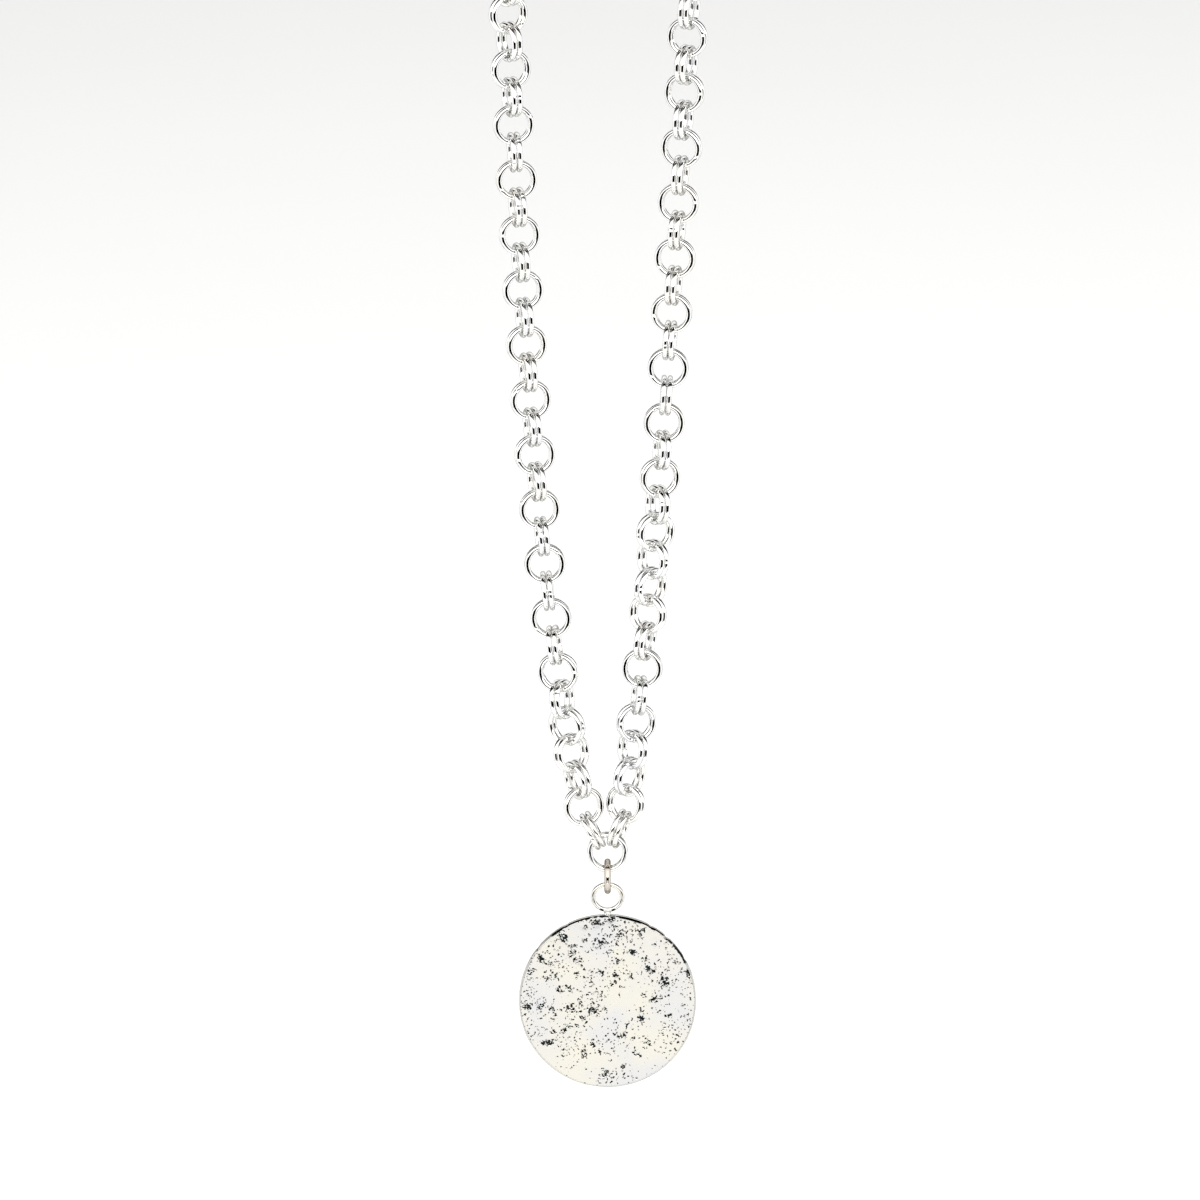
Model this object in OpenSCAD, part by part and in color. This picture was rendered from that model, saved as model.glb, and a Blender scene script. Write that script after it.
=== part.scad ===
// Disc pendant on a chain of doubled round rings, hanging as a whole closed loop.
// +Z is up and the pitted face of the disc looks towards -Y.
// The origin is the underside of the clasp's neck, where the loop hangs on a hook.

/* [Chain] */
// Outer diameter of one chain ring
ring_od = 5.74; // [5.3:0.02:6.6]
// Thickness of the round wire of the chain rings
ring_wire = 0.74; // [0.6:0.01:0.8]
// Gap between the two rings of one pair
pair_gap = 0.1; // [0.1:0.01:0.14]
// Gap between the wires of neighbouring pairs on a straight run
link_gap = 0.25; // [0.22:0.01:0.4]
// Extra slack at the first two pairs on each side of the centre link
splay_slack = 0.2; // [0.18:0.01:0.3]
// Number of ring pairs in each strand, always even
strand_pairs = 54; // [40:2:56]

/* [Pendant] */
// Diameter of the disc
disc_d = 25; // [18:0.5:32]
// Thickness of the disc
disc_t = 1.3; // [1:0.1:2]
// Width of the bevel round both edges of the disc
edge_bevel = 0.22; // [0.1:0.01:0.4]
// Width of the largest dents in the front face
dent_d = 2.2; // [1.4:0.1:2.8]
// Depth of those dents
dent_depth = 0.2; // [0.1:0.01:0.3]
// Outer diameter of the wire eye on the disc
eye_od = 4.8; // [4:0.1:6]
// Thickness of the wire of the eye
eye_wire = 0.7; // [0.5:0.05:0.9]
// How deep the eye's wire sinks into the edge of the disc
eye_sink = 0.05; // [0.03:0.01:0.2]
// Radius of the bead of solder that joins the eye to the disc
solder_r = 0.55; // [0.4:0.05:0.65]

/* [Jump ring] */
// Outer diameter of the plain ring between the chain and the eye
jump_od = 5; // [4.6:0.1:6]
// Thickness of its wire
jump_wire = 0.9; // [0.6:0.05:1]
// Gap between rings that hang in each other at the pendant and the clasp
hang_gap = 0.1; // [0.1:0.01:0.14]

/* [Clasp] */
// Outer diameter of the plain ring at each end of the clasp
end_od = 5; // [4.8:0.1:6]
// Thickness of its wire
end_wire = 0.8; // [0.6:0.05:0.9]
// Outer diameter of the clasp's small eye
clasp_eye_od = 3.8; // [3.6:0.1:4.6]
// Thickness of the wire of that eye
clasp_eye_wire = 0.9; // [0.7:0.05:1]
// Outer diameter of the clasp's large loop
clasp_loop_od = 6.2; // [5.6:0.1:7]
// Thickness of the wire of that loop
clasp_loop_wire = 1.3; // [1:0.05:1.5]
// Length of the neck between the eye and the loop
neck_len = 1.8; // [1.2:0.1:3]
// Diameter of the neck
neck_d = 1.6; // [1.2:0.1:2]

/* [Hang] */
// Radius of the bend over which the top of the loop hangs
top_r = 15.4; // [14:0.2:20]
// How far the middle of that bend lies to the left of the pendant
top_shift = 1.1; // [0:0.1:2]

/* [Hidden] */
silver = [0.87, 0.87, 0.88];
warm_silver = [0.78, 0.76, 0.73];
facets = 48;
wire_facets = 20;

// Route of each strand: the lean of its first and second pair in degrees, and the
// length over which it then flares out towards the bend at the top.
LEFT = 0;
RIGHT = 1;
SIDE = [-1, 1];
FIRST_LEAN = [34, 26];
SECOND_LEAN = [20, 14];
FLARE = [24, 60];
// Turn of the pairs about the strand in degrees, on top of the quarter turn from each
// pair to the next: [pair number, turn]
TURNS = [
    [[1, 3], [2, 16], [6, 66], [8, 84], [10, 90], [14, 104], [24, 103], [26, 98], [28, 108], [44, 180]],
    [[1, -14], [2, -28], [3, -39], [9, -125], [13, -156], [17, -180], [21, -191], [25, -192],
        [29, -202], [44, -180]]
];

// Dents of the front face: [across, up, size], the first two as shares of the disc's
// radius and the last as a share of the largest dent
DENTS = [
    [-0.09, 0.87, 0.6], [0.14, 0.82, 0.7], [0.34, 0.8, 0.8], [-0.5, 0.73, 0.6],
    [-0.35, 0.6, 0.8], [0.29, 0.57, 0.7], [-0.04, 0.68, 0.7], [-0.76, 0.47, 0.8],
    [-0.82, 0.25, 0.7], [-0.62, 0.27, 0.6], [-0.06, 0.34, 0.8], [0.14, 0.31, 0.7],
    [0.48, 0.36, 0.9], [0.65, 0.21, 0.8], [0.85, 0.28, 0.5], [0.73, 0.47, 0.7],
    [-0.5, 0.12, 0.9], [-0.87, -0.05, 0.6], [-0.42, -0.1, 0.7], [-0.16, -0.1, 1],
    [0.5, 0.02, 0.8], [0.83, -0.06, 0.4], [0.37, -0.19, 0.8], [-0.25, -0.24, 0.6],
    [-0.68, -0.46, 0.9], [-0.5, -0.33, 0.7], [0.14, -0.4, 0.8], [0.4, -0.46, 0.9],
    [-0.16, -0.5, 0.8], [-0.27, -0.69, 0.7], [-0.02, -0.78, 0.8], [0.31, -0.64, 0.8],
    [0.75, -0.37, 0.6], [0.62, -0.3, 0.5]
];

// Rings: mean radius of each, and the spacing that their wires leave
ring_r = (ring_od - ring_wire) / 2;
pair_offset = (ring_wire + pair_gap) / 2;
pair_reach = sqrt(pow(ring_r, 2) - pow(pair_offset, 2));
pitch = 2 * pair_reach - ring_wire - link_gap;
first_pitch = pitch - splay_slack;
eye_r = (eye_od - eye_wire) / 2;
jump_r = (jump_od - jump_wire) / 2;
end_r = (end_od - end_wire) / 2;
clasp_eye_r = (clasp_eye_od - clasp_eye_wire) / 2;
clasp_loop_r = (clasp_loop_od - clasp_loop_wire) / 2;

// Distance between the centres of two single rings that hang in each other
function hung(r1, w1, r2, w2) = r1 + r2 - (w1 + w2) / 2 - hang_gap;
// The same where one of the two is a pair of chain rings
function hung_pair(r, w) =
    ring_r + sqrt(pow(r - (w + ring_wire) / 2 - hang_gap, 2) - pow(pair_offset, 2));

// Heights below the middle of the centre link
jump_z = -hung_pair(jump_r, jump_wire);
eye_z = jump_z - hung(jump_r, jump_wire, eye_r, eye_wire);
disc_z = eye_z - eye_od / 2 + eye_sink - disc_d / 2;

// Clasp: distances between the middles of a last pair, its end ring and the clasp
end_step = hung_pair(end_r, end_wire);
eye_side = end_step + hung(end_r, end_wire, clasp_eye_r, clasp_eye_wire);
loop_side = end_step + hung(end_r, end_wire, clasp_loop_r, clasp_loop_wire);
clasp_len = clasp_eye_r + neck_len + clasp_loop_r;
clasp_arc = (eye_side + clasp_len + loop_side) / top_r * 180 / PI;

// Length of a strand up to where the bend at the top begins
straight_len = strand_pairs * pitch - top_r * (90 - clasp_arc / 2) * PI / 180;
// Distance to the side at a length along the strand
function second_x(s) = first_pitch * (sin(FIRST_LEAN[s]) + sin(SECOND_LEAN[s]));
function second_z(s) = first_pitch * (cos(FIRST_LEAN[s]) + cos(SECOND_LEAN[s]));
function bend_x(s) = top_r - SIDE[s] * top_shift;
function flare_share(s, len) = ln((len - 2 * pitch) / FLARE[s] + 1);
function side_x(s, len) = len < straight_len
    ? second_x(s) + (bend_x(s) - second_x(s)) * flare_share(s, len) / flare_share(s, straight_len)
    : bend_x(s) - top_r * (1 - cos((len - straight_len) / top_r * 180 / PI));
// Every second pair lies on the route, and the pair between two of them midway
function step_x(s, k) = side_x(s, (k + 2) * pitch) - (k == 2 ? second_x(s) : side_x(s, k * pitch));
function step_z(s, k) = sqrt(pow(2 * pitch, 2) - pow(step_x(s, k), 2));
function even_places(s) = [
    for (k = 2, z = second_z(s); k <= strand_pairs; z = z + step_z(s, k), k = k + 2)
        [SIDE[s] * (k == 2 ? second_x(s) : side_x(s, k * pitch)), z]
];
function first_place(s) = first_pitch * [SIDE[s] * sin(FIRST_LEAN[s]), cos(FIRST_LEAN[s])];
function strand_places(s) = let (even = even_places(s)) [
    [0, 0],
    first_place(s),
    for (i = [0 : len(even) - 1])
        each i == 0 ? [even[0]] : [(even[i - 1] + even[i]) / 2, even[i]]
];
STRANDS = [strand_places(LEFT), strand_places(RIGHT)];

// The clasp lies parallel to the line between the two last pairs, a little above it
last_left = STRANDS[LEFT][strand_pairs];
last_right = STRANDS[RIGHT][strand_pairs];
span = norm(last_right - last_left);
along = (last_right - last_left) / span;
upward = [-along[1], along[0]];
span_angle = atan2(along[1], along[0]);
free_span = span - clasp_len;
eye_run = (pow(free_span, 2) + pow(eye_side, 2) - pow(loop_side, 2)) / (2 * free_span);
loop_run = free_span - eye_run;
rise = sqrt(pow(eye_side, 2) - pow(eye_run, 2));
eye_dir = (eye_run * along + rise * upward) / eye_side;
loop_dir = (-loop_run * along + rise * upward) / loop_side;
clasp_eye_at = last_left + eye_side * eye_dir;
clasp_loop_at = last_right + loop_side * loop_dir;
neck_at = clasp_eye_at + (clasp_eye_r + neck_len / 2) * along;
hang_at = neck_at - neck_d / 2 * upward;

// Moves a place given from the middle of the centre link to the part's own frame
module placed(at = [0, 0]) {
    translate([at[0] - hang_at[0], 0, at[1] - hang_at[1]]) children();
}

// A round wire ring whose axis is the Z axis
module wire_ring(r, wire) {
    rotate_extrude($fn = facets) translate([r, 0]) circle(d = wire, $fn = wire_facets);
}

// A ring that stands up and faces the front
module facing_ring(r, wire) {
    rotate([90, 0, 0]) wire_ring(r, wire);
}

// Two chain rings side by side, leaning from upright and turned about the strand
module ring_pair(lean = 0, turn = 0) {
    rotate([0, lean, 0]) rotate([0, 0, turn])
        for (side = SIDE) translate([0, side * pair_offset, 0]) facing_ring(ring_r, ring_wire);
}

module strand(s) {
    places = concat(STRANDS[s], [2 * STRANDS[s][strand_pairs] - STRANDS[s][strand_pairs - 1]]);
    for (k = [1 : strand_pairs]) {
        run = places[k + 1] - places[k - 1];
        placed(places[k]) ring_pair(atan2(run[0], run[1]), 90 * k + lookup(k, TURNS[s]));
    }
}

module chain_left() {
    color(silver) strand(LEFT);
}

module chain_right() {
    color(silver) strand(RIGHT);
}

module centre_link() {
    color(silver) placed() ring_pair();
}

module jump_ring() {
    color(warm_silver) placed([0, jump_z]) rotate([0, 0, 90]) facing_ring(jump_r, jump_wire);
}

// Bevelled disc whose axis is the Z axis, with its middle at half its thickness
module disc_blank() {
    r = disc_d / 2;
    t = disc_t / 2;
    rotate_extrude($fn = 96) polygon([
        [0, -t], [r - edge_bevel, -t], [r, edge_bevel - t], [r, t - edge_bevel], [r - edge_bevel, t], [0, t]
    ]);
}

// Shallow hollow at the front face, cut by a ball that sinks in as deep as the dent
module dent(across, up, size) {
    hollow_r = size * dent_d / 2;
    depth = size * dent_depth;
    ball_r = (pow(hollow_r, 2) + pow(depth, 2)) / (2 * depth);
    translate([across * disc_d / 2, -disc_t / 2 + depth - ball_r, up * disc_d / 2])
        sphere(r = ball_r, $fn = facets);
}

module pendant_disc() {
    color(silver) {
        placed([0, disc_z]) difference() {
            rotate([90, 0, 0]) disc_blank();
            for (row = DENTS) dent(row[0], row[1], row[2]);
        }
        placed([0, eye_z]) facing_ring(eye_r, eye_wire);
        placed([0, eye_z - eye_od / 2]) sphere(r = solder_r, $fn = facets);
    }
}

// Ring between a last pair and the clasp, lying edge-on along the given direction
module end_ring(at, dir) {
    placed(at + end_step * dir) rotate([0, atan2(dir[0], dir[1]), 0]) rotate([0, 0, 90])
        facing_ring(end_r, end_wire);
}

module end_ring_left() {
    color(silver) end_ring(last_left, eye_dir);
}

module end_ring_right() {
    color(silver) end_ring(last_right, loop_dir);
}

module clasp() {
    color(silver) {
        placed(clasp_eye_at) facing_ring(clasp_eye_r, clasp_eye_wire);
        placed(clasp_loop_at) facing_ring(clasp_loop_r, clasp_loop_wire);
        placed(neck_at) rotate([0, 90 - span_angle, 0])
            cylinder(d = neck_d, h = neck_len, center = true, $fn = facets);
    }
}

pendant_disc();
jump_ring();
centre_link();
chain_left();
chain_right();
end_ring_left();
end_ring_right();
clasp();
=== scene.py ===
import math
import random

import bpy
import numpy as np
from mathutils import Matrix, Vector, noise


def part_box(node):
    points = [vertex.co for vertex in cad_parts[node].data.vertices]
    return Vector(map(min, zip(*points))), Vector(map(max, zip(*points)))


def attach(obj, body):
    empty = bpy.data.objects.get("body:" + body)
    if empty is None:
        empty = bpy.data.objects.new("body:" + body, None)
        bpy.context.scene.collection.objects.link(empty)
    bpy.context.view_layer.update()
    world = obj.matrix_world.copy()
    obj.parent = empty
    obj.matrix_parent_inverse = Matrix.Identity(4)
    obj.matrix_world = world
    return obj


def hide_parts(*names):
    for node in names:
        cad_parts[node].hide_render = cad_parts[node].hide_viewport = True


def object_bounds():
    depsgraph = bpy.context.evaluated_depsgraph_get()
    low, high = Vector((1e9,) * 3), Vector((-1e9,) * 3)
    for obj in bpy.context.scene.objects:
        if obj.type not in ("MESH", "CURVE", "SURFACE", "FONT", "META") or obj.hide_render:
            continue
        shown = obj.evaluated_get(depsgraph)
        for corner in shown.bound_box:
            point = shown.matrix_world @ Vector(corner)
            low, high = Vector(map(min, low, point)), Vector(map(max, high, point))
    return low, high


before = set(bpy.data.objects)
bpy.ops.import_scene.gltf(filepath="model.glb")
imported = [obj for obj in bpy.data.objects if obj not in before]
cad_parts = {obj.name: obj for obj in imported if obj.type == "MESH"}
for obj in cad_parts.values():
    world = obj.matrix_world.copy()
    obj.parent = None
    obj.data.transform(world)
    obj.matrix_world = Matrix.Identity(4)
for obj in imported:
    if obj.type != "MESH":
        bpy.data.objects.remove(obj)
cad_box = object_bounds()

# Lengths are in metres, and written in millimetres times mm
mm = 0.001

# Camera, at the photograph's angle
LENS = 600
SENSOR = 36
CAMERA_DISTANCE = 2.807
CAMERA_ELEVATION = math.radians(13)
CLIP_START = 0.01
LOOK_AT = Vector((1.04, 0, -174.68)) * mm
TO_CAMERA = Vector((0, -math.cos(CAMERA_ELEVATION), math.sin(CAMERA_ELEVATION)))
CAMERA_UP = Vector((0, math.sin(CAMERA_ELEVATION), math.cos(CAMERA_ELEVATION)))

# Studio: a white room with flags, each [bearing, height, half width, half height, darkness] in
# degrees, seen from the object. Bearing 0 is towards the front. The last one is brighter than the
# room, so its darkness is below 0.
ROOM_LIGHT = 1.22
ROOM_WHITE = (1, 0.997, 0.99, 1)
FLAGS = [
    [0, -13, 50, 18, 1],
    [180, -16, 45, 16, 0.4],
    [180, 12, 26, 13, 0.2],
    [0, 27, 42, 21, -0.6],
]
FLAG_EDGE = 2.5
# The dark gap overhead from left to right, by the lean and turn of the metal that shows it: the
# middle and half width of its lean, and half the width of its turn, in degrees
GAP_LEAN, GAP_HALF, GAP_TURN = 40, 14, 58
# Grey bands round the camera's direction, each [from, to, darkness] in degrees from it
BANDS = [[80, 100, 0.16], [124, 168, 0.16]]
BAND_EDGE = 7
# White card in front of the disc, below the camera's line of sight
CARD_AHEAD = 0.1
CARD_TOP = -240.2 * mm
CARD_SIZE = (0.12, 0.045)
CARD_LIGHT = 1.05
# Soft light overhead, for the floor alone: power in watts, size, place and what it shines at
KEY_POWER = 20
KEY_SIZE = 1.2
KEY_PLACE = Vector((0.3, 0.6, 1.2))
KEY_AIM = Vector((0, 0, -0.15))
# Round floor: how far it lies below the necklace, its radius and its corners
FLOOR_DROP = 0.16
FLOOR_RADIUS = 6.0
FLOOR_CORNERS = 96

# Seeds of the random draws, one for each node, and the eye's own
SEEDS = {
    "chain_left": 1, "chain_right": 2, "centre_link": 3, "end_ring_left": 4, "end_ring_right": 5,
    "jump_ring": 6, "clasp": 7, "pendant_disc": 11, "disc_eye": 5,
}

# Rings: sections round each ring, sides of the wire, how uneven the wire is, and the cut in it
CHAIN_SECTIONS, CHAIN_SIDES = 48, 12
FINE_SECTIONS, FINE_SIDES = 96, 20
OVALITY = 0.012 * mm
THINNING = 0.012
SEAM_WIDTH = 0.035 * mm
SEAM_DEPTH = 0.03 * mm
# Directions, and how upright an axis may be to be crossed with the upward one
ACROSS, BACKWARD, UPWARD = np.eye(3)
UPRIGHT = 0.9

# Clasp, with the drop from the loop's middle to the eye's, and its waisted neck: the waist as a
# share of its width, the power of the flare towards its ends, and rows of points along it
CLASP_EYE_OD, CLASP_EYE_WIRE = 3.8 * mm, 0.9 * mm
CLASP_LOOP_OD, CLASP_LOOP_WIRE = 6.2 * mm, 1.3 * mm
CLASP_DROP = 0.196 * mm
CLASP_NECK = 1.6 * mm
CLASP_WAIST = 0.9
CLASP_FLARE = 3
CLASP_ROWS = 25

# Eye on the disc: outer diameter, wire, and half of how far its foot is drawn up
EYE_OD = 4.8 * mm
EYE_WIRE = 0.7 * mm
EYE_SQUASH = 0.2 * mm
# Bead of solder: radius, how far its middle lies above the solid eye's foot, how uneven it is
BEAD = 0.55 * mm
BEAD_SINK = 0.15 * mm
BEAD_UNEVEN = 0.12
# Dark creases beside it: depth that counts as a pit's, reach, and place aside from and above it
CREASE_DEPTH = 0.1 * mm
CREASE_REACH = 0.28 * mm
CREASE_AT = (0.88 * mm, 0.5 * mm)
# Rim of the disc: width and drop of its bevel, and how far its corners are rounded
RIM_WIDTH = 0.2 * mm
RIM_DROP = 0.26 * mm
RIM_CORNER = 0.025 * mm
# How uneven the rim and its bevel are, and the radius of the disc in the noise of each
RIM_UNEVEN, RIM_RADIUS = 0.035 * mm, 5
BEVEL_UNEVEN, BEVEL_RADIUS = 0.45, 2.5
# Circles of points on each face
FACE_RINGS = 164
BACK_RINGS = 41
# On the back: how far a circle of half as many points and the worn face lie inside the bevel
BACK_BORDER = 0.15 * mm
BACK_INSET = 0.4 * mm
BACK_WEAR = 0.01 * mm
# How far both faces lie inside the CAD solid at least
SKIN = 0.02 * mm
# Worn face: depth and length of its slow waves, depth and reach of the hollow at a full cluster
WAVE_DEPTH = 0.035 * mm
WAVE_LENGTH = 5.5 * mm
HOLLOW_DEPTH = 0.04 * mm
HOLLOW_REACH = 1.25 * mm
# A finer pattern on top of the waves and of the crumbs: how many times finer, and its share
FINER_WAVES = (2.3, 0.5)
FINER_CRUMBS = (2.1, 0.6)
# Pits: how many a full cluster has, how far it spreads along and across its lean, their radii
PITS_IN_CLUSTER = 10
CLUSTER_REACH = (0.85 * mm, 0.45 * mm)
PIT_RADII = (0.055 * mm, 0.16 * mm)
# Loose pits: how many are drawn, their radii, how far out they lie, how pitted it is round them
LOOSE_PITS = 620
LOOSE_RADII = (0.06 * mm, 0.115 * mm)
LOOSE_LIMIT = 0.98
LOOSE_ZONE = 0.3
# How pitted it is around where no speck of tarnish may show
NO_PITS = -1
# Shape of a pit: length and depth over its half width, and how much deeper its middle goes
PIT_STRETCH = (1, 1.8)
PIT_STEEPNESS = (0.5, 0.9)
PIT_MIDDLE = 0.25
# Crumbs: size, depth, and the mean, start and rise of the pattern where it is fully pitted
CRUMB_SIZE = 0.3 * mm
CRUMB_DEPTH = 0.13 * mm
CRUMB_MEAN = 0.75
CRUMB_START, CRUMB_RISE = 0.62, 0.2
# The layer of noise that each pattern reads
LAYERS = {
    "waves": 0.0, "finer waves": 7.0, "crumbs": 11.0, "finer crumbs": 4.0, "loose pits": 5.0,
    "rim": 2.0, "bevel": 9.0, "edge": 1.0, "finer edge": 6.0, "back": 3.0,
}
# Painted shade along the top of the rim: depth that counts as a pit's, reach inwards and where it
# ends
EDGE_DEPTH = 0.1 * mm
EDGE_REACH = 0.12 * mm
EDGE_ENDS = (math.radians(-44), math.radians(66))
EDGE_FADE = 0.15
# Its patches: their mean, the disc's radius in the noise of the broad and of the finer ones, the
# share of the finer ones, and their contrast
EDGE_MEAN = 0.3
EDGE_RADIUS, EDGE_FINER_RADIUS = 6, 24
EDGE_FINER_SHARE = 0.9
EDGE_CONTRAST = 2
# Painted shade on the rim's bevel and side: what they count as, so that they are a little grey as a
# thin outline
RIM_PAINTED_SHADE = 0.02 * mm
SIDE_PAINTED_SHADE = 0.014 * mm

# Clusters of pits on the front face, each [across, up, size, lean]: across and up are shares of
# the disc's radius from its middle, size is a share of a full cluster, lean is in degrees
CLUSTERS = [
    [-0.12, 0.92, 0.8, -10], [0.04, 0.96, 0.6, -5], [-0.26, 0.88, 0.4, -40],
    [0.14, 0.8, 0.8, 60], [0.36, 0.81, 0.5, 40], [-0.51, 0.75, 1.0, -40],
    [-0.25, 0.71, 0.5, -35], [-0.05, 0.68, 0.6, 15], [-0.38, 0.65, 0.5, 0],
    [-0.39, 0.57, 0.8, 10], [-0.34, 0.48, 0.6, 10], [0.28, 0.57, 0.8, -5],
    [0.12, 0.47, 0.5, 30], [0.42, 0.51, 0.4, -45], [0.64, 0.69, 0.25, 0],
    [0.54, 0.67, 0.25, 20], [0.76, 0.46, 0.45, -30], [0.91, 0.33, 0.7, -45],
    [0.48, 0.36, 0.8, -30], [0.65, 0.23, 1.1, -60], [0.51, 0.02, 0.7, 20],
    [0.4, 0.06, 0.35, -45], [0.83, -0.06, 0.35, 30], [0.38, -0.1, 0.5, -15],
    [0.38, -0.2, 0.6, -45], [0.7, -0.16, 0.5, 30], [0.63, -0.3, 0.6, 80],
    [0.8, -0.39, 0.5, -35], [0.16, -0.4, 0.7, 20], [0.31, -0.43, 0.4, 0],
    [0.44, -0.48, 0.6, -10], [-0.16, -0.5, 0.7, -60], [-0.27, -0.58, 0.6, 80],
    [-0.09, -0.59, 0.35, 40], [0.34, -0.62, 0.5, -25], [0.18, -0.75, 0.5, 60],
    [-0.02, -0.84, 0.7, -60], [-0.75, 0.5, 0.9, -45], [-0.64, 0.44, 0.5, -30],
    [-0.85, 0.35, 0.6, 20], [-0.68, 0.26, 0.6, 10], [-0.59, 0.33, 0.4, 30],
    [-0.54, 0.14, 0.6, -20], [-0.43, 0.15, 0.6, -45], [-0.92, -0.05, 0.8, 0],
    [-0.76, -0.06, 0.6, 30], [-0.63, -0.08, 0.5, -20], [-0.41, -0.08, 0.9, -15],
    [-0.31, 0.0, 0.5, -45], [-0.17, -0.1, 1.0, -10], [-0.05, -0.09, 0.45, 10],
    [-0.27, -0.19, 0.5, 0], [-0.59, -0.17, 0.5, 80], [-0.49, -0.34, 0.6, 35],
    [-0.37, -0.28, 0.4, 10], [-0.66, -0.47, 0.9, 5], [-0.14, 0.11, 0.3, 0],
    [-0.07, 0.34, 0.6, -15], [0.09, 0.31, 0.6, 0], [0.26, 0.31, 0.4, -45],
    [0.06, 0.21, 0.45, 40], [-0.34, 0.31, 0.3, -45],
]
# Smooth places without loose pits, each [across, up, reach]
SMOOTH = [
    [0.18, -0.04, 0.2], [-0.72, -0.62, 0.2], [-0.1, 0.48, 0.12],
    [0.5, -0.75, 0.2], [0.3, 0.45, 0.1],
]
# Loose pits begin at a share of that reach, and where the noise is above a level: where each
# starts, how fast it rises, and the disc's radius in that noise
SMOOTH_END, SMOOTH_RISE = 0.8, 3
GATHER_LEVEL, GATHER_RISE = -0.25, 4
GATHER_RADIUS = 3
# Nicks in the rim: [degrees from the top, clockwise from the front; depth]
NICKS = [[29, 0.1 * mm], [42, 0.16 * mm], [-28, 0.07 * mm], [61, 0.08 * mm], [-52, 0.06 * mm]]
NICK_REACH = 0.35 * mm

# Tarnish, also used for the painted shade on the rim: its colour, the pit depths in mm where it
# starts and is full, and its small specks
TARNISH_AND_SHADE = (0.014, 0.02, 0.022, 1)
TARNISH_AND_SHADE_DEPTHS = (0.012, 0.04)
SPECK_NOISE = (2800, 1)
SPECK_REACH = 0.25
SPECK_START = 0.715
SPECK_EDGE = 0.02

# Polish: the noise of the tint and of the haze, each (scale, detail), and its range that counts
TINT_NOISE, TINT_RANGE = (110, 3), (0.35, 0.65)
HAZE_NOISE, HAZE_RANGE = (900, 4), (0.3, 0.7)
# Fine scratches: noise stretched into lines, turned about each axis, and their depth
SCRATCH_SCALES = (900, 900, 5200)
SCRATCH_TURNS = (0.4, 0.2, 0.7)
SCRATCH_NOISE = (1, 5)
SCRATCH_DEPTH = 0.001 * mm
# Silvers, each (warm tint, cool tint, edge tint, roughness from and to, strength of scratches)
EDGE_TINT = (0.6, 0.6, 0.58)
CHAIN_LOOK = ((0.96, 0.95, 0.92), (0.95, 0.955, 0.96), EDGE_TINT, (0.03, 0.09), 0.6)
WARM_LOOK = ((0.66, 0.6, 0.52), (0.78, 0.74, 0.69), (0.2, 0.18, 0.15), (0.05, 0.12), 0.8)
PITTED_LOOK = ((0.93, 0.89, 0.77), (0.83, 0.825, 0.825), EDGE_TINT, (0.06, 0.12), 0.8)
# Floor: the noise of its mottling, and its darker and paler tones
MOTTLE_NOISE = (6, 4)
FLOOR_TONES = ((0.9, 0.9, 0.895), (0.93, 0.93, 0.925))
FLOOR_ROUGHNESS = 0.9
FLOOR_SHINE = 0.1
# Places of a colour mix node's two colours among its inputs, and of their mix among its outputs
COLOUR_A, COLOUR_B, MIXED = 6, 7, 2


def mesh_piece(name, points, faces, material):
    """An object at the origin from points in the row frame, smooth shaded."""
    mesh = bpy.data.meshes.new(name)
    mesh.from_pydata(points.tolist(), [], faces)
    mesh.shade_smooth()
    mesh.materials.append(material)
    piece = bpy.data.objects.new(name, mesh)
    bpy.context.scene.collection.objects.link(piece)
    return piece


def point_values(piece, name, values):
    """Keeps a value for each point of the piece, for its material to read."""
    layer = piece.data.attributes.new(name, "FLOAT", "POINT")
    layer.data.foreach_set("value", np.asarray(values, np.float32))


def dress(piece, body, slot, *nodes):
    """The piece stands for those CAD nodes and moves with their body."""
    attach(piece, body)
    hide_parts(*nodes)
    return piece


def tube_faces(rows, sides, ends_meet):
    """Faces between neighbouring rows of points, each row going once round with that many sides."""
    return [
        (i * sides + j, i * sides + (j + 1) % sides,
         (i + 1) % rows * sides + (j + 1) % sides, (i + 1) % rows * sides + j)
        for i in range(rows if ends_meet else rows - 1) for j in range(sides)
    ]


def joined(parts):
    """Points and faces of several parts as one mesh."""
    faces, start = [], 0
    for points, part_faces in parts:
        faces += [tuple(start + i for i in face) for face in part_faces]
        start += len(points)
    return np.concatenate([points for points, _ in parts]), faces


# Rings of the frame


def frame_mesh(node):
    """Points and triangles of a CAD node, with points at the same place made one."""
    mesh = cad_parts[node].data
    points = np.empty(len(mesh.vertices) * 3, np.float32)
    mesh.vertices.foreach_get("co", points)
    corners = np.empty(len(mesh.polygons) * 3, np.int32)
    mesh.polygons.foreach_get("vertices", corners)
    points, same = np.unique(points.reshape(-1, 3), axis=0, return_inverse=True)
    return points.astype(float), same.reshape(-1)[corners].reshape(-1, 3)


def connected(count, faces):
    """For each of count points, the lowest point that the faces join it to."""
    label = np.arange(count)
    while True:
        lowest = label[faces].min(1)
        lower = label.copy()
        for corner in faces.T:
            np.minimum.at(lower, label[corner], lowest)
        lower = lower[lower]
        if (lower == label).all():
            return label
        label = lower


def group_mean(group, weight, values):
    """The weighted mean of the values, one row for each group."""
    total = np.bincount(group, weight)
    sums = [np.bincount(group, weight * column) for column in values.T]
    return np.stack(sums, 1) / total[:, None]


def ring_axes(points, faces, ring_of_face):
    """Centre and axis of each ring, from the spread of its surface."""
    a, b, c = (points[corner] for corner in faces.T)
    area = np.linalg.norm(np.cross(b - a, c - a), axis=1)
    middle = (a + b + c) / 3
    centre = group_mean(ring_of_face, area, middle)
    off = middle - centre[ring_of_face]
    products = (off[:, :, None] * off[:, None, :]).reshape(-1, 9)
    spread = group_mean(ring_of_face, area, products).reshape(-1, 3, 3)
    return centre, np.linalg.eigh(spread)[1][:, :, 0]


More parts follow.
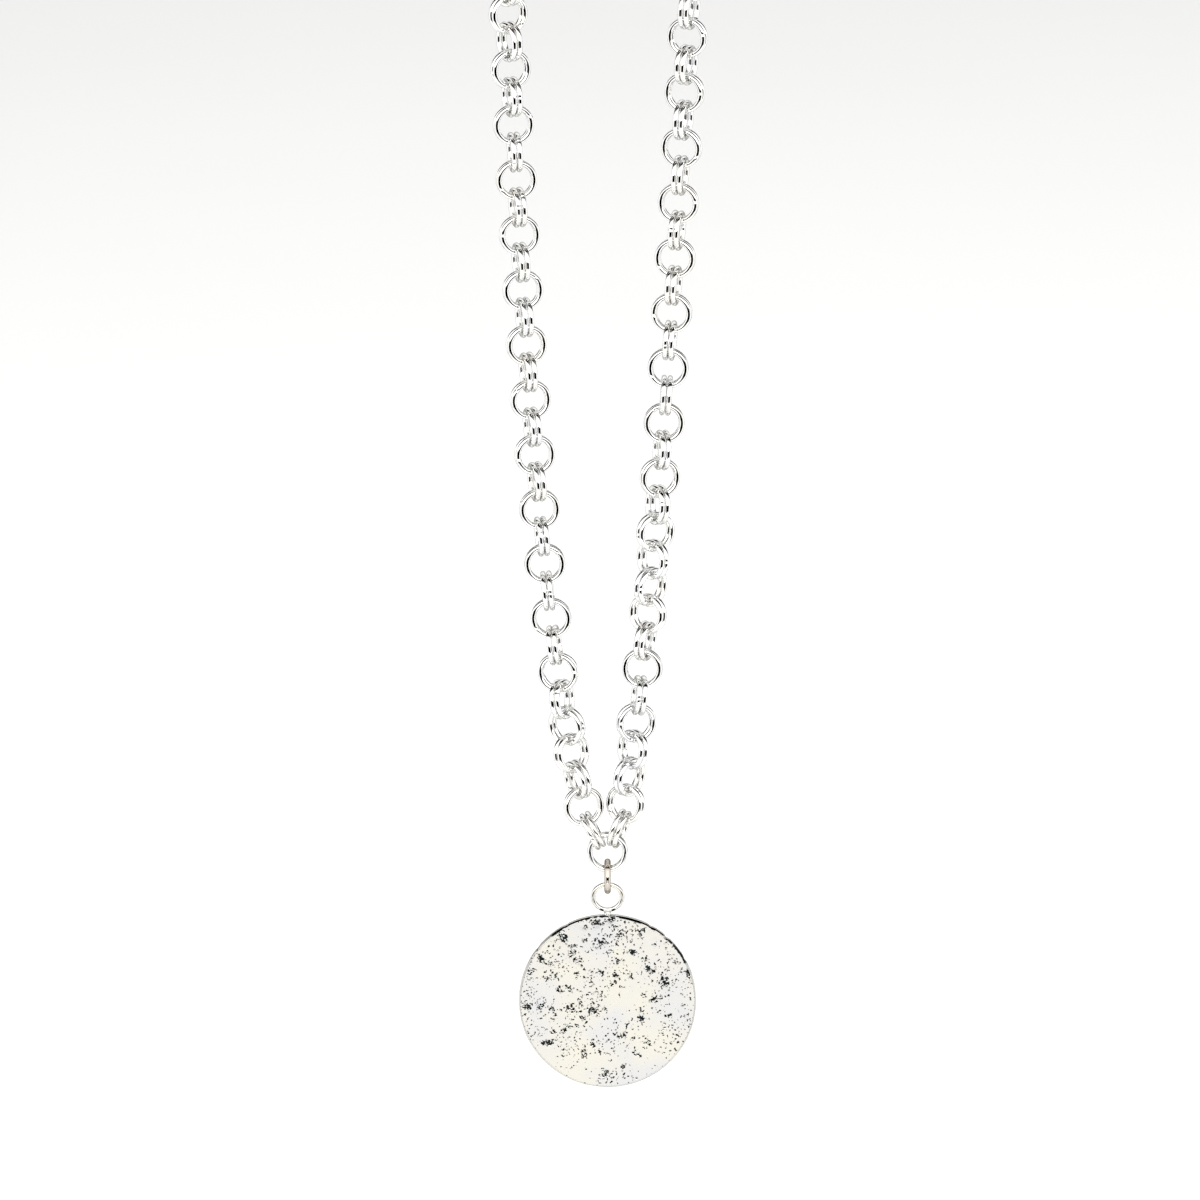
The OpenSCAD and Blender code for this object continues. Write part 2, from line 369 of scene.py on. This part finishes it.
def ring_radii(ring_of_point, arm, axis):
    """Mean radius and wire radius of each ring, from its points' arms from its centre."""
    height = (arm * axis[ring_of_point]).sum(1)
    square = (arm**2).sum(1)
    reach = np.sqrt(square - height**2)
    # On a torus, the square is a straight line over the reach: 2 R reach + r² - R²
    terms = np.stack([reach, square, reach * square, reach**2], 1)
    means = group_mean(ring_of_point, np.ones(len(arm)), terms).T
    mean_reach, mean_square, mean_product, mean_reach_square = means
    slope = (mean_product - mean_reach * mean_square) / (mean_reach_square - mean_reach**2)
    radius = slope / 2
    return radius, np.sqrt(mean_square - slope * mean_reach + radius**2)


def ring_places(node):
    """Each ring of a CAD node, from the top down: its centre, axis, mean and wire radius."""
    points, faces = frame_mesh(node)
    ring_of_point = np.unique(connected(len(points), faces), return_inverse=True)[1]
    centre, axis = ring_axes(points, faces, ring_of_point[faces[:, 0]])
    radius, wire = ring_radii(ring_of_point, points - centre[ring_of_point], axis)
    # By height, then across and then depth, rounded so that a last digit doesn't change it
    order = np.lexsort((centre[:, 1].round(5), centre[:, 0].round(5), -centre[:, 2].round(4)))
    return [(centre[i], axis[i], radius[i], wire[i]) for i in order]


def side_directions(axis):
    """Two directions square to the axis and to each other."""
    helper = UPWARD if abs(axis[2]) < UPRIGHT else ACROSS
    u = np.cross(axis, helper)
    u /= np.linalg.norm(u)
    return u, np.cross(axis, u)


def wire_ring(place, rng, sections, sides, cut=SEAM_DEPTH):
    """Points and faces of one ring of round wire, with the fine cut where its ends meet."""
    centre, axis, radius, wire = place
    u, v = side_directions(axis)
    half_cut = SEAM_WIDTH / radius
    turn = np.append(0, np.linspace(half_cut, 2 * math.pi - half_cut, sections))
    seam, oval, thin = (rng.uniform(0, 2 * math.pi) for _ in range(3))
    round_wire = np.linspace(0, 2 * math.pi, sides, endpoint=False)
    # Wider one way than the other, and thinner wire in three places
    at = radius - OVALITY * (1 + np.cos(2 * turn + oval))
    thick = wire * (1 - THINNING * (1 + np.cos(3 * turn + thin)) / 2)
    thick[0] -= cut
    out = u * np.cos(turn + seam)[:, None] + v * np.sin(turn + seam)[:, None]
    reach = at[:, None] + thick[:, None] * np.cos(round_wire)
    rise = thick[:, None] * np.sin(round_wire)
    points = centre + reach[..., None] * out[:, None, :] + rise[..., None] * axis
    return points.reshape(-1, 3), tube_faces(sections + 1, sides, True)


def rings_piece(node, body, slot, material, sections=CHAIN_SECTIONS, sides=CHAIN_SIDES):
    """All rings of a CAD node as one mesh."""
    rng = random.Random(SEEDS[node])
    points, faces = joined([wire_ring(place, rng, sections, sides) for place in ring_places(node)])
    piece = mesh_piece(node + "_wire", points, faces, material)
    return dress(piece, body, slot, node)


# Patterns and circles of the disc


def noise_at(across, up, layer, finer=1):
    """Noise of a layer at each place."""
    depth, places = LAYERS[layer], zip(finer * across, finer * up)
    return np.array([noise.noise(Vector((a, b, depth))) for a, b in places])


def noise_round(angle, radius, layer):
    """Noise of a layer at each angle round a circle of that radius in it."""
    return noise_at(radius * np.cos(angle), radius * np.sin(angle), layer)


def wrapped(angle):
    """The angle as one from minus to plus half a turn."""
    return (angle + math.pi) % (2 * math.pi) - math.pi


def leaning(across, up, lean):
    """How far a place lies along a leaning line and over it."""
    cos, sin = math.cos(lean), math.sin(lean)
    return across * cos + up * sin, up * cos - across * sin


def circle_start(number):
    """First point of the circle of 6 × number points, after the middle point and smaller ones."""
    return 1 + 3 * number * (number - 1)


def circle_rings(count, first):
    """Triangles between circles of 6, 12, 18 ... points round a middle point numbered first."""
    triangles = [(first, first + 1 + i, first + 1 + (i + 1) % 6) for i in range(6)]
    for i in range(1, count):
        inner, outer = first + circle_start(i), first + circle_start(i + 1)
        for sector in range(6):
            for j in range(i + 1):
                near = inner + (sector * i + j) % (6 * i)
                far = outer + sector * (i + 1) + j
                beyond = outer + (sector * (i + 1) + j + 1) % (6 * i + 6)
                triangles.append((near, far, beyond))
                if j < i:
                    triangles.append((near, beyond, inner + (sector * i + j + 1) % (6 * i)))
    return triangles


def circle_places(count):
    """Shares of the radius and angles of those points, from the middle out."""
    rows = [(0.0, 0.0)]
    for i in range(1, count + 1):
        rows += [(i / count, 2 * math.pi * j / (6 * i)) for j in range(6 * i)]
    return np.array(rows).T


def halving_band(wide, count, narrow):
    """Triangles from a circle of count points, numbered from wide, to one of half as many."""
    triangles = []
    for i in range(count // 2):
        here, there = narrow + i, narrow + (i + 1) % (count // 2)
        a, b, c = wide + 2 * i, wide + 2 * i + 1, wide + (2 * i + 2) % count
        triangles += [(a, here, b), (b, here, there), (b, there, c)]
    return triangles


# Disc


def loose_share(x, z):
    """How thickly loose pits lie at a place in shares of the radius: 0 where smooth, at most 1."""
    edge = min(math.hypot(x - a, z - b) / reach for a, b, reach in SMOOTH)
    clear = min(max(SMOOTH_RISE * (edge - SMOOTH_END), 0), 1)
    patch = noise.noise(Vector((GATHER_RADIUS * x, GATHER_RADIUS * z, LAYERS["loose pits"])))
    return clear * min(max(GATHER_RISE * (patch - GATHER_LEVEL), 0), 1)


def make_pits(radius):
    """The pits: rows of across, up, half length, half width, depth and turn."""
    rng = random.Random(SEEDS["pendant_disc"])
    smallest, largest = PIT_RADII
    rows = []

    def add_pit(x, z, half):
        """A pit of that half width at a place."""
        stretch, steep = rng.uniform(*PIT_STRETCH), rng.uniform(*PIT_STEEPNESS)
        rows.append((x, z, half * stretch, half, half * steep, rng.uniform(0, math.pi)))

    for across, up, size, lean in CLUSTERS:
        lean = math.radians(lean)
        for _ in range(round(PITS_IN_CLUSTER * size)):
            along, over = (rng.gauss(0, size * reach) for reach in CLUSTER_REACH)
            right, above = leaning(along, over, -lean)
            # Squared, so that small pits are the common ones
            half = smallest + (largest - smallest) * rng.random() ** 2
            add_pit(across * radius + right, up * radius + above, half)
    for _ in range(LOOSE_PITS):
        x, z = rng.uniform(-1, 1), rng.uniform(-1, 1)
        if math.hypot(x, z) < LOOSE_LIMIT and rng.random() < loose_share(x, z):
            add_pit(x * radius, z * radius, rng.uniform(*LOOSE_RADII))
    return rows


def worn_skin(x, z):
    """How far each point of the front face sinks by slow waves alone."""
    a, b = x / WAVE_LENGTH, z / WAVE_LENGTH
    finer, share = FINER_WAVES
    broad = noise_at(a, b, "waves") + share * noise_at(a, b, "finer waves", finer)
    return SKIN + WAVE_DEPTH * (1 + broad) / 2


def crumbs(x, z, zone):
    """How deep small crumbs are gone from each point of the front face, by how pitted it is."""
    a, b = x / CRUMB_SIZE, z / CRUMB_SIZE
    finer, share = FINER_CRUMBS
    pattern = noise_at(a, b, "crumbs") + share * noise_at(a, b, "finer crumbs", finer)
    return CRUMB_DEPTH * np.clip((zone * (CRUMB_MEAN + pattern) - CRUMB_START) / CRUMB_RISE, 0, 1)


def face_relief(x, z, radius):
    """How far each point of the front face sinks, its pit's depth, and how pitted it is around."""
    sink = worn_skin(x, z)
    zone = np.zeros(len(x))
    for across, up, size, lean in CLUSTERS:
        dx, dz = x - across * radius, z - up * radius
        along, over = leaning(dx, dz, math.radians(lean))
        near = (along / CLUSTER_REACH[0]) ** 2 + (over / CLUSTER_REACH[1]) ** 2
        sink += size * HOLLOW_DEPTH * np.exp(-(dx**2 + dz**2) / (size * HOLLOW_REACH) ** 2)
        zone = np.maximum(zone, size**0.5 * np.exp(-near / (2 * size)))
    loose = np.array([loose_share(a, b) for a, b in zip(x / radius, z / radius)])
    zone = np.maximum(zone, LOOSE_ZONE * loose)
    pitted = crumbs(x, z, zone)
    for px, pz, half_length, half_width, depth, turn in make_pits(radius):
        near = np.flatnonzero((abs(x - px) < half_length) & (abs(z - pz) < half_length))
        along, over = leaning(x[near] - px, z[near] - pz, turn)
        inside = np.clip(1 - (along / half_length) ** 2 - (over / half_width) ** 2, 0, 1)
        pitted[near] = np.maximum(pitted[near], depth * inside) + PIT_MIDDLE * depth * inside**2
    return sink, pitted, zone


def rim_top_painted_shade(angle, inward):
    """Painted shade along the top of the rim at each angle and distance in from it, in patches."""
    finer = noise_round(angle, EDGE_FINER_RADIUS, "finer edge")
    patch = EDGE_MEAN + noise_round(angle, EDGE_RADIUS, "edge") + EDGE_FINER_SHARE * finer
    clockwise = wrapped(math.pi / 2 - angle)
    ends = np.minimum(clockwise - EDGE_ENDS[0], EDGE_ENDS[1] - clockwise)
    patch = np.clip(patch, 0, 1) * np.clip(ends / EDGE_FADE, 0, 1)
    return EDGE_DEPTH * np.clip(EDGE_CONTRAST * (patch - inward / EDGE_REACH), 0, 1)


def rim_shape(angle, radius):
    """Inset of the rim and width of its bevel at each angle."""
    inset = RIM_UNEVEN * (1 + noise_round(angle, RIM_RADIUS, "rim")) / 2
    bevel = RIM_WIDTH * (1 + BEVEL_UNEVEN * noise_round(angle, BEVEL_RADIUS, "bevel"))
    for degrees, depth in NICKS:
        away = wrapped(angle - math.radians(90 - degrees))
        inset = inset + depth * np.exp(-((away * radius / NICK_REACH) ** 2))
    return inset, bevel


def at_angles(out, y, angle):
    """Points that far out from the disc's middle, at a depth and at each angle."""
    return np.stack([out * np.cos(angle), np.broadcast_to(y, out.shape), out * np.sin(angle)], 1)


def front_face(radius, front_y):
    """The pitted front face: its points, their tarnish with the painted shade along the top of the
    rim, and how pitted it is around each.
    """
    share, angle = circle_places(FACE_RINGS)
    inset, bevel = rim_shape(angle, radius)
    reach = share * (radius - inset - bevel)
    sink, pitted, zone = face_relief(reach * np.cos(angle), reach * np.sin(angle), radius)
    # Tarnish of the pits, with painted shade along the top of the rim
    tarnish_and_shade = np.maximum(pitted, rim_top_painted_shade(angle, (1 - share) * radius))
    return at_angles(reach, front_y + sink + pitted, angle), tarnish_and_shade, zone


def rim_bands(radius, front_y, back_y, angle):
    """The bevelled rim: circles of points from its front edge to its back, and their painted shade.
    """
    inset, bevel = rim_shape(angle, radius)
    front = [(bevel - RIM_CORNER, RIM_CORNER), (RIM_CORNER, RIM_DROP - RIM_CORNER), (0, RIM_DROP)]
    circles = [(inward, front_y + down) for inward, down in front]
    circles += [(inward, back_y - down) for inward, down in reversed(front)]
    circles.append((bevel, back_y))
    points = [at_angles(radius - inset - inward, y, angle) for inward, y in circles]
    # Painted shade: grey all round the front bevel and side, dark in patches along the top
    edge = np.maximum(rim_top_painted_shade(angle, 0), RIM_PAINTED_SHADE)
    side = np.full(len(angle), SIDE_PAINTED_SHADE)
    return points, [edge, edge] + [side] * (len(circles) - 2)


def back_face(radius, back_y, angle):
    """The plain back: a circle of half the rim's points, and the faintly worn face."""
    inset, bevel = rim_shape(angle, radius)
    border = at_angles(radius - inset - bevel - BACK_BORDER, back_y, angle)
    share, angle = circle_places(BACK_RINGS)
    inset, bevel = rim_shape(angle, radius)
    reach = share * (radius - inset - bevel - BACK_INSET)
    waves = reach / WAVE_LENGTH
    wear = noise_at(waves * np.cos(angle), waves * np.sin(angle), "back")
    return np.concatenate([border, at_angles(reach, back_y - BACK_WEAR * (1 + wear), angle)])


def disc_faces(bands):
    """Faces of the disc's front, of that many bands round its rim, and of its back."""
    rim = 6 * FACE_RINGS
    faces = circle_rings(FACE_RINGS, 0)
    start = circle_start(FACE_RINGS)
    for _ in range(bands):
        for i in range(rim):
            j = (i + 1) % rim
            faces.append((start + i, start + rim + i, start + rim + j, start + j))
        start += rim
    border = start + rim
    back = border + rim // 2
    faces += halving_band(start, rim, border)
    faces += [triangle[::-1] for triangle in circle_rings(BACK_RINGS, back)]
    return faces + halving_band(border, rim // 2, back + circle_start(BACK_RINGS))


def pendant_disc(material):
    """The disc with its pitted front face, uneven rim and plain back."""
    low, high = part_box("pendant_disc")
    radius = (high.x - low.x) / 2
    centre = np.array([(low.x + high.x) / 2, 0, low.z + radius])
    rim_angle = circle_places(FACE_RINGS)[1][circle_start(FACE_RINGS):]
    back_y = high.y - SKIN
    front, tarnish_and_shade, zone = front_face(radius, low.y)
    bands, band_painted_shade = rim_bands(radius, front[-len(rim_angle):, 1], back_y, rim_angle)
    back = back_face(radius, back_y, rim_angle[::2])
    points = np.concatenate([front, *bands, back]) + centre
    piece = mesh_piece("pendant_disc_body", points, disc_faces(len(bands)), material)
    tarnish_and_shade = np.concatenate([tarnish_and_shade, *band_painted_shade, np.zeros(len(back))])
    # Pit depths, with the painted shade on the rim, for the material to draw dark
    point_values(piece, "pit_depth_and_painted_shade", tarnish_and_shade / mm)
    point_values(piece, "pit_zone", np.append(zone, np.full(len(points) - len(zone), NO_PITS)))
    return dress(piece, "pendant", "pitted_silver", "pendant_disc")


def turned(origin, axis, profile, sides):
    """Points and faces of a closed form turned on an axis, from rows of [along it, radius]."""
    u, v = side_directions(axis)
    turn = np.linspace(0, 2 * math.pi, sides, endpoint=False)
    out = np.outer(np.cos(turn), u) + np.outer(np.sin(turn), v)
    points = np.concatenate([origin + along * axis + radius * out for along, radius in profile])
    return points, tube_faces(len(profile), sides, False)


def solder_bead(foot):
    """Points and faces of the lumpy bead of solder at the eye's foot."""
    turn = np.linspace(0, math.pi, FINE_SIDES + 1)
    profile = [(-BEAD * math.cos(a), BEAD * math.sin(a)) for a in turn]
    points, faces = turned(foot, UPWARD, profile, 2 * FINE_SIDES)
    lumps = np.array([noise.noise(Vector(arm)) for arm in (points - foot) / BEAD])
    shrink = 1 - BEAD_UNEVEN * np.clip(0.5 + lumps, 0, 1)
    return foot + (points - foot) * shrink[:, None], faces


def disc_eye(material):
    """The wire eye soldered upright on the disc's top edge, with its bead and dark creases."""
    low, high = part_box("pendant_disc")
    foot = np.array([(low.x + high.x) / 2, 0, high.z - EYE_OD + BEAD_SINK])
    radius = (EYE_OD - EYE_WIRE) / 2
    top = high.z - EYE_WIRE / 2
    centre = np.array([foot[0], 0, top - radius])
    place = (centre, BACKWARD, radius, EYE_WIRE / 2)
    rng = random.Random(SEEDS["disc_eye"])
    ring, ring_faces = wire_ring(place, rng, FINE_SECTIONS, FINE_SIDES, cut=0)
    ring[:, 2] += 2 * EYE_SQUASH * np.clip((top - ring[:, 2]) / (2 * radius), 0, 1)
    points, faces = joined([(ring, ring_faces), solder_bead(foot)])
    piece = mesh_piece("disc_eye", points, faces, material)
    aside, above = abs(points[:, 0] - foot[0]), points[:, 2] - foot[2]
    away = np.hypot(above - CREASE_AT[1], aside - CREASE_AT[0])
    point_values(piece, "pit_depth_and_painted_shade", CREASE_DEPTH / mm * np.exp(-((away / CREASE_REACH) ** 2)))
    point_values(piece, "pit_zone", np.full(len(points), NO_PITS))
    return dress(piece, "pendant", "pitted_silver", "pendant_disc")


# Clasp


def clasp_neck(start, length):
    """The waisted neck, as rows of [along it, radius] closed at both ends."""
    rows = []
    for share in np.linspace(0, 1, CLASP_ROWS):
        flare = abs(2 * share - 1) ** CLASP_FLARE
        width = CLASP_NECK * (CLASP_WAIST + (1 - CLASP_WAIST) * flare)
        rows.append((start + share * length, width / 2))
    return [(rows[0][0], 0), *rows, (rows[-1][0], 0)]


def clasp(material):
    """The plain clasp: a small eye and a large loop, with a waisted neck between them."""
    rng = random.Random(SEEDS["clasp"])
    low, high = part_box("clasp")
    loop = np.array([high.x - CLASP_LOOP_OD / 2, 0, high.z - CLASP_LOOP_OD / 2])
    eye = np.array([low.x + CLASP_EYE_OD / 2, 0, loop[2] - CLASP_DROP])
    span = np.linalg.norm(loop - eye)
    eye_r, loop_r = (CLASP_EYE_OD - CLASP_EYE_WIRE) / 2, (CLASP_LOOP_OD - CLASP_LOOP_WIRE) / 2
    places = [
        (eye, BACKWARD, eye_r, CLASP_EYE_WIRE / 2),
        (loop, BACKWARD, loop_r, CLASP_LOOP_WIRE / 2),
    ]
    parts = [wire_ring(place, rng, FINE_SECTIONS, FINE_SIDES, cut=0) for place in places]
    neck = clasp_neck(eye_r, span - eye_r - loop_r)
    parts.append(turned(eye, (loop - eye) / span, neck, 2 * FINE_SIDES))
    points, faces = joined(parts)
    piece = mesh_piece("clasp_body", points, faces, material)
    return dress(piece, "necklace", "chain_silver", "clasp")


# Materials


def fill(socket, value):
    """Links the input to the value where that is another node's output, or else sets it."""
    if isinstance(value, bpy.types.NodeSocket):
        socket.id_data.links.new(value, socket)
    else:
        socket.default_value = value


def add(tree, kind, *values, **named):
    """A new node, with its settings and inputs by name, or its inputs by their places."""
    node = tree.nodes.new(kind)
    for name, value in named.items():
        if hasattr(node, name):
            setattr(node, name, value)
        else:
            fill(node.inputs[name.replace("_", " ")], value)
    for socket, value in zip(node.inputs, values):
        fill(socket, value)
    return node


def maths(tree, operation, *values):
    """The outcome of a sum on numbers and other nodes' outputs."""
    return add(tree, "ShaderNodeMath", *values, operation=operation).outputs["Value"]


def texture(tree, place, scale, detail):
    """Noise at each place, from 0 to 1."""
    return add(tree, "ShaderNodeTexNoise", Vector=place, Scale=scale, Detail=detail).outputs["Fac"]


def ramp(tree, value, start, end, low=0, high=1, kind="LINEAR"):
    """A value that goes from low to high while the given one goes from start to end."""
    node = add(tree, "ShaderNodeMapRange", interpolation_type=kind, Value=value,
               From_Min=start, From_Max=end, To_Min=low, To_Max=high)
    return node.outputs["Result"]


def blend(tree, share, stops):
    """A colour that goes through the stops, each (position, colour), along the share."""
    node = add(tree, "ShaderNodeValToRGB", Fac=share)
    for stop, (position, colour) in zip(node.color_ramp.elements, stops):
        stop.position = position
        stop.color = (*colour, 1)
    return node.outputs["Color"]


def new_material(name):
    """A new material, its node tree, its shader's inputs and the place on the piece."""
    material = bpy.data.materials.new(name)
    material.use_nodes = True
    tree = material.node_tree
    place = add(tree, "ShaderNodeTexCoord").outputs["Object"]
    return material, tree, tree.nodes["Principled BSDF"].inputs, place


def tarnished_and_shaded(tree, colour, place):
    """The colour, dark where pits are deep and where shade is painted on the rim, and in small
    specks where the face is pitted around.
    """
    depth = add(tree, "ShaderNodeAttribute", attribute_name="pit_depth_and_painted_shade").outputs["Fac"]
    zone = add(tree, "ShaderNodeAttribute", attribute_name="pit_zone").outputs["Fac"]
    grain = texture(tree, place, *SPECK_NOISE)
    deep = ramp(tree, depth, *TARNISH_AND_SHADE_DEPTHS)
    specks = maths(tree, "MULTIPLY_ADD", zone, SPECK_REACH, grain)
    specks = ramp(tree, specks, SPECK_START, SPECK_START + SPECK_EDGE)
    mix = add(tree, "ShaderNodeMix", data_type="RGBA", Factor=maths(tree, "MAXIMUM", deep, specks))
    fill(mix.inputs[COLOUR_A], colour)
    fill(mix.inputs[COLOUR_B], TARNISH_AND_SHADE)
    return mix.outputs[MIXED]


def scratches(tree, place, strength):
    """The surface's direction, disturbed by fine scratches."""
    lines = add(tree, "ShaderNodeMapping", Vector=place,
                Scale=SCRATCH_SCALES, Rotation=SCRATCH_TURNS)
    height = texture(tree, lines.outputs["Vector"], *SCRATCH_NOISE)
    bump = add(tree, "ShaderNodeBump", Height=height, Strength=strength, Distance=SCRATCH_DEPTH)
    return bump.outputs["Normal"]


def silver(name, look, pits=False):
    """Polished silver: a drifting tint, a darker edge, polish that varies, and fine scratches."""
    warm, cool, edge, roughness, scratch = look
    material, tree, inputs, place = new_material(name)
    colour = blend(tree, texture(tree, place, *TINT_NOISE), zip(TINT_RANGE, (warm, cool)))
    if pits:
        colour = tarnished_and_shaded(tree, colour, place)
    haze = texture(tree, place, *HAZE_NOISE)
    fill(inputs["Base Color"], colour)
    fill(inputs["Roughness"], ramp(tree, haze, *HAZE_RANGE, *roughness))
    fill(inputs["Normal"], scratches(tree, place, scratch))
    fill(inputs["Metallic"], 1)
    fill(inputs["Specular Tint"], (*edge, 1))
    return material


def pale_floor():
    """A matt, faintly mottled floor."""
    material, tree, inputs, place = new_material("pale_floor")
    colour = blend(tree, texture(tree, place, *MOTTLE_NOISE), zip((0, 1), FLOOR_TONES))
    fill(inputs["Base Color"], colour)
    fill(inputs["Roughness"], FLOOR_ROUGHNESS)
    fill(inputs["Specular IOR Level"], FLOOR_SHINE)
    return material


# Studio


def inside(tree, angle, half, edge=FLAG_EDGE):
    """1 where the angle is within half that many degrees each way, and 0 past the soft edge."""
    start, end = math.radians(half - edge), math.radians(half + edge)
    return ramp(tree, maths(tree, "ABSOLUTE", angle), start, end, 1, 0, "SMOOTHSTEP")


def both(tree, share, other):
    """1 where both shares are 1."""
    return maths(tree, "MULTIPLY", share, other)


def darkened(tree, light, share, darkness):
    """The light, darker by that much where the share is 1."""
    left = maths(tree, "SUBTRACT", 1, maths(tree, "MULTIPLY", share, darkness))
    return maths(tree, "MULTIPLY", light, left)


def along(tree, direction, axis):
    """How far the direction goes along the axis."""
    node = add(tree, "ShaderNodeVectorMath", direction, tuple(axis), operation="DOT_PRODUCT")
    return node.outputs["Value"]


def with_flags(tree, light, direction):
    """The light, with the flags in front of it."""
    x, y, z = add(tree, "ShaderNodeSeparateXYZ", direction).outputs
    height = maths(tree, "ARCSINE", z)
    bearing = maths(tree, "ARCTAN2", x, maths(tree, "MULTIPLY", y, -1))
    for to, up, half_width, half_height, darkness in FLAGS:
        off = maths(tree, "SUBTRACT", bearing, math.radians(to))
        turn = maths(tree, "WRAP", off, math.pi, -math.pi)
        rise = maths(tree, "SUBTRACT", height, math.radians(up))
        share = both(tree, inside(tree, turn, half_width), inside(tree, rise, half_height))
        light = darkened(tree, light, share, darkness)
    return light


def with_gap(tree, light, direction):
    """The light, with the dark gap overhead."""
    # Metal that shows a direction to the camera faces along the sum of that and the camera's
    # direction, which goes toward + 1 to the camera, upward and across
    toward = along(tree, direction, TO_CAMERA)
    upward = along(tree, direction, CAMERA_UP)
    across = along(tree, direction, ACROSS)
    lean = maths(tree, "ARCTAN2", upward, maths(tree, "ADD", toward, 1))
    length = maths(tree, "SQRT", maths(tree, "MULTIPLY_ADD", toward, 2, 2))
    turn = maths(tree, "ARCSINE", maths(tree, "DIVIDE", across, length))
    off = maths(tree, "SUBTRACT", lean, math.radians(GAP_LEAN))
    share = both(tree, inside(tree, off, GAP_HALF), inside(tree, turn, GAP_TURN))
    return darkened(tree, light, share, 1)


def with_bands(tree, light, direction):
    """The light, with the grey bands round the camera's direction."""
    angle = maths(tree, "ARCCOSINE", along(tree, direction, TO_CAMERA))
    for start, end, darkness in BANDS:
        off = maths(tree, "SUBTRACT", angle, math.radians((start + end) / 2))
        light = darkened(tree, light, inside(tree, off, (end - start) / 2, BAND_EDGE), darkness)
    return light


def white_room():
    """The white room, with its flags, dark gap and grey bands for all but the camera."""
    world = bpy.data.worlds.new("white_room")
    bpy.context.scene.world = world
    world.use_nodes = True
    tree = world.node_tree
    direction = add(tree, "ShaderNodeTexCoord").outputs["Generated"]
    light = ROOM_LIGHT
    for part in (with_flags, with_gap, with_bands):
        light = part(tree, light, direction)
    seen = add(tree, "ShaderNodeLightPath").outputs["Is Camera Ray"]
    strength = add(tree, "ShaderNodeMix", Factor=seen, A=light, B=ROOM_LIGHT).outputs["Result"]
    background = tree.nodes["Background"].inputs
    fill(background["Color"], ROOM_WHITE)
    fill(background["Strength"], strength)


def floor():
    """The round floor, which the metal doesn't mirror."""
    turn = np.linspace(0, 2 * math.pi, FLOOR_CORNERS, endpoint=False)
    height = np.full(FLOOR_CORNERS, cad_box[0].z - FLOOR_DROP)
    points = np.stack([FLOOR_RADIUS * np.cos(turn), FLOOR_RADIUS * np.sin(turn), height], 1)
    piece = mesh_piece("floor", points, [tuple(range(FLOOR_CORNERS))], pale_floor())
    piece.visible_glossy = False


def placed(name, data, place):
    """A lamp or camera in its place in the scene."""
    thing = bpy.data.objects.new(name, data)
    thing.location = place
    bpy.context.scene.collection.objects.link(thing)
    return thing


def facing(direction):
    """The rotation of a lamp or camera that looks in the direction."""
    return direction.to_track_quat("-Z", "Y").to_euler()


def soft_key():
    """The soft light overhead, which the metal doesn't mirror."""
    lamp = bpy.data.lights.new("soft_key", "AREA")
    lamp.energy = KEY_POWER
    lamp.size = KEY_SIZE
    key = placed("soft_key", lamp, KEY_PLACE)
    key.rotation_euler = facing(KEY_AIM - KEY_PLACE)
    key.visible_glossy = False


def white_card():
    """The lit card in front of the disc, which the camera doesn't see."""
    lamp = bpy.data.lights.new("card", "AREA")
    lamp.shape = "RECTANGLE"
    lamp.size, lamp.size_y = CARD_SIZE
    lamp.energy = CARD_LIGHT * math.pi * lamp.size * lamp.size_y
    card = placed("card", lamp, (LOOK_AT.x, -CARD_AHEAD, CARD_TOP - lamp.size_y / 2))
    card.rotation_euler = (math.radians(90), 0, 0)
    card.visible_camera = False


def camera():
    """The camera, at the photograph's angle."""
    data = bpy.data.cameras.new("camera")
    data.lens = LENS
    data.sensor_width = SENSOR
    data.clip_start = CLIP_START
    eye = placed("camera", data, LOOK_AT + CAMERA_DISTANCE * TO_CAMERA)
    eye.rotation_euler = facing(-TO_CAMERA)
    bpy.context.scene.camera = eye
    bpy.context.scene.view_settings.view_transform = "Standard"


white_room()
floor()
soft_key()
white_card()
camera()

chain_silver = silver("chain_silver", CHAIN_LOOK)
warm_silver = silver("warm_silver", WARM_LOOK)
pitted_silver = silver("pitted_silver", PITTED_LOOK, pits=True)

for strand in ("chain_left", "chain_right"):
    rings_piece(strand, "necklace", "chain_silver", chain_silver)
for ring in ("centre_link", "end_ring_left", "end_ring_right"):
    rings_piece(ring, "necklace", "chain_silver", chain_silver, FINE_SECTIONS, FINE_SIDES)
rings_piece("jump_ring", "jump", "warm_silver", warm_silver, FINE_SECTIONS, FINE_SIDES)
clasp(chain_silver)
pendant_disc(pitted_silver)
disc_eye(pitted_silver)
